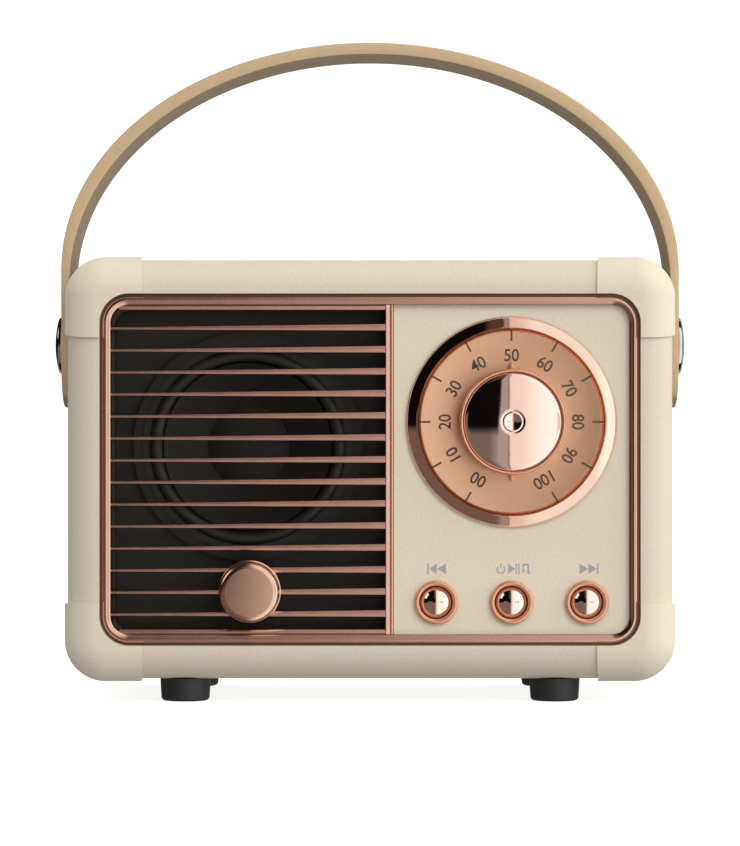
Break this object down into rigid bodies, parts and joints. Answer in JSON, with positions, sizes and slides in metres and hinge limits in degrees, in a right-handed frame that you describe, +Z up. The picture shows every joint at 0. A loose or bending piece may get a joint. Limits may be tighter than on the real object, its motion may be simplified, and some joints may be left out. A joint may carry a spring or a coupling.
{
  "type": "tabletop radio",
  "caption": "Small tabletop radio with a moulded case, barred speaker bay, round tuning dial, push buttons, volume knob, rubber feet and an arched strap handle.",
  "frame": {"origin": "midway across the case and midway through its depth, in the plane that the feet stand on", "axes": "+X is right seen from the front, +Y points to the back, +Z is up; the dial faces -Y"},
  "size_m": [0.1188, 0.0593, 0.1219],
  "materials": {
    "black_plastic": "satin",
    "case_cream": "fine leather-like grain, satin",
    "cell_wrap": "shrink wrap",
    "chip_plastic": "moulded",
    "circuit_board": "solder mask",
    "cone_paper": "pressed paper",
    "copper_grille": "metal plated, polished copper",
    "copper_knob": "metal plated, satin and polished",
    "copper_ring": "metal plated, satin",
    "copper_trim": "metal plated, polished copper",
    "copper_wire": "enamelled copper",
    "dial_copper": "satin anodised copper colour",
    "ferrite": "matt grey",
    "foot_rubber": "matt",
    "guard_cream": "smooth satin",
    "mirror_cap": "metal plated, mirror",
    "panel_cream": "leather-like grain, satin",
    "polished_copper": "metal plated, polished",
    "pressed_steel": "zinc plated",
    "soft_rubber": "matt",
    "spider_cloth": "resin treated weave",
    "steel_fastener": "zinc plated",
    "strap_leather": "smooth tan leather",
    "stud_chrome": "polished",
    "wire_jacket": "extruded"
  },
  "bodies": {
    "case": {"antenna_coil": "copper_wire", "baffle": "black_plastic", "baffle_screws": "steel_fastener", "battery_cell": "cell_wrap", "battery_holder": "black_plastic", "board_parts": "chip_plastic", "bush_nuts": "steel_fastener", "button_ring_next": "copper_ring", "button_ring_power": "copper_ring", "button_ring_previous": "copper_ring", "case_screws": "steel_fastener", "control_board": "circuit_board", "control_panel": "panel_cream", "corner_guard_front_left_bottom": "guard_cream", "corner_guard_front_left_top": "guard_cream", "corner_guard_front_right_bottom": "guard_cream", "corner_guard_front_right_top": "guard_cream", "corner_guard_rear_left_bottom": "guard_cream", "corner_guard_rear_left_top": "guard_cream", "corner_guard_rear_right_bottom": "guard_cream", "corner_guard_rear_right_top": "guard_cream", "dial_plate": "dial_copper", "dial_ring": "polished_copper", "ferrite_rod": "ferrite", "foot_front_left": "foot_rubber", "foot_front_right": "foot_rubber", "foot_rear_left": "foot_rubber", "foot_rear_right": "foot_rubber", "foot_screws": "steel_fastener", "front_shell": "case_cream", "internal_leads": "wire_jacket", "main_board": "circuit_board", "pivot_nuts": "steel_fastener", "pivot_stud_left": "stud_chrome", "pivot_stud_right": "stud_chrome", "pivot_washers": "steel_fastener", "rear_shell": "case_cream", "speaker_basket": "pressed_steel", "speaker_gasket": "soft_rubber", "speaker_grille": "copper_grille", "speaker_magnet": "ferrite", "speaker_spider": "spider_cloth", "speaker_surround": "soft_rubber", "tact_switches": "black_plastic", "trim_bezel": "copper_trim", "tuner_body": "pressed_steel", "usb_socket": "pressed_steel", "volume_pot": "pressed_steel"},
    "handle": {"handle_strap": "strap_leather"},
    "tuning": {"tuning_knob": "copper_knob", "tuning_cap": "mirror_cap", "tuning_shaft": "steel_fastener"},
    "volume": {"volume_knob": "copper_knob", "volume_shaft": "steel_fastener"},
    "previous_button": {"button_previous": "mirror_cap"},
    "power_button": {"button_power": "mirror_cap"},
    "next_button": {"button_next": "mirror_cap"},
    "speaker_voice": {"speaker_cone": "cone_paper", "dust_cap": "cone_paper", "voice_coil": "copper_wire"}
  },
  "joints": [
    {"name": "handle_swing", "type": "hinge", "parent": "case", "child": "handle", "pos_m": [0, 0, 0.0655], "axis": [1, 0, 0], "range_deg": [-28, 28]},
    {"name": "tuning_turn", "type": "hinge", "parent": "case", "child": "tuning", "pos_m": [0.0257, -0.029, 0.0511], "axis": [0, 1, 0], "range_deg": [-150, 150]},
    {"name": "volume_turn", "type": "hinge", "parent": "case", "child": "volume", "pos_m": [-0.02185, -0.028, 0.0203], "axis": [0, 1, 0], "range_deg": [-140, 140]},
    {"name": "previous_press", "type": "slide", "parent": "case", "child": "previous_button", "axis": [0, 1, 0], "range_m": [0, 0.0005], "stiffness_N_per_m": 300, "springref_m": -0.0005},
    {"name": "power_press", "type": "slide", "parent": "case", "child": "power_button", "axis": [0, 1, 0], "range_m": [0, 0.0005], "stiffness_N_per_m": 300, "springref_m": -0.0005},
    {"name": "next_press", "type": "slide", "parent": "case", "child": "next_button", "axis": [0, 1, 0], "range_m": [0, 0.0005], "stiffness_N_per_m": 300, "springref_m": -0.0005},
    {"name": "cone_travel", "type": "slide", "parent": "case", "child": "speaker_voice", "axis": [0, -1, 0], "range_m": [-0.0005, 0.0005], "stiffness_N_per_m": 400}
  ]
}
